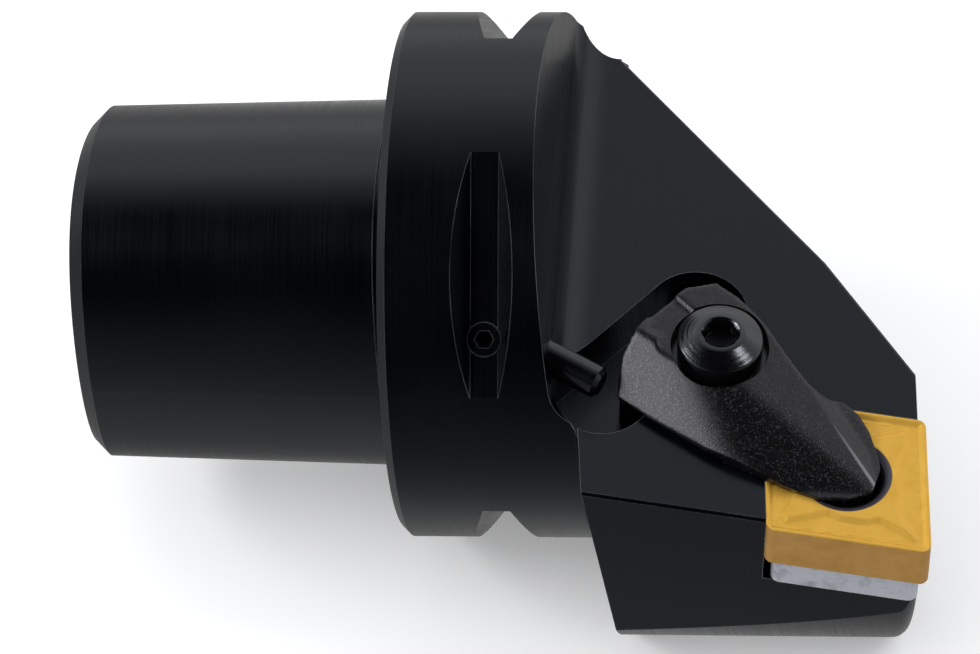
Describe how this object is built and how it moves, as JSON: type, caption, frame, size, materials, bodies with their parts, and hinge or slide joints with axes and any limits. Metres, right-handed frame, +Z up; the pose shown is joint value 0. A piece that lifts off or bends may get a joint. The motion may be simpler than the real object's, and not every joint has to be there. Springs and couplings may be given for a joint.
{
  "type": "external turning tool head",
  "caption": "External turning tool head with a polygonal taper shank and flange, a clamped rhombic cutting insert on a shim and a coolant nozzle.",
  "frame": {"origin": "centre of the flange's contact face, on the axis of the taper shank", "axes": "+X along the tool axis from the shank towards the cutting end, +Z up through the flat top of the head, the cutting corner on the -Y side"},
  "size_m": [0.103, 0.0765, 0.063],
  "materials": {
    "black_steel": "satin black oxide, fine machining marks",
    "gold_carbide": "gold coating on sintered carbide",
    "bare_carbide": "ground carbide",
    "clamp_steel": "forged and blackened, grainy",
    "screw_steel": "turned and blackened",
    "nozzle_steel": "smooth, blackened",
    "spring_steel": "drawn wire"
  },
  "bodies": {
    "holder": {"holder_body": "black_steel", "cutting_insert": "gold_carbide", "shim": "bare_carbide", "shim_screw": "screw_steel", "lift_spring": "spring_steel", "coolant_nozzle": "nozzle_steel", "nozzle_set_screw": "screw_steel"},
    "clamp": {"clamp": "clamp_steel", "clamp_washer": "screw_steel"},
    "clamp_screw": {"clamp_screw": "screw_steel"}
  },
  "joints": [
    {"name": "clamp_lift", "type": "slide", "parent": "holder", "child": "clamp", "axis": [0.104, -0.104, 0.9891], "range_m": [0, 0.004], "deforming": ["lift_spring"]},
    {"name": "screw_turn", "type": "hinge", "parent": "clamp", "child": "clamp_screw", "pos_m": [0.03905, -0.02183, 0.00519], "axis": [0.104, -0.104, 0.9891], "range_deg": [0, 1440]}
  ],
  "couplings": [
    {"joint": "screw_turn", "follows": "clamp_lift", "rad_per_m": 6283.2}
  ]
}
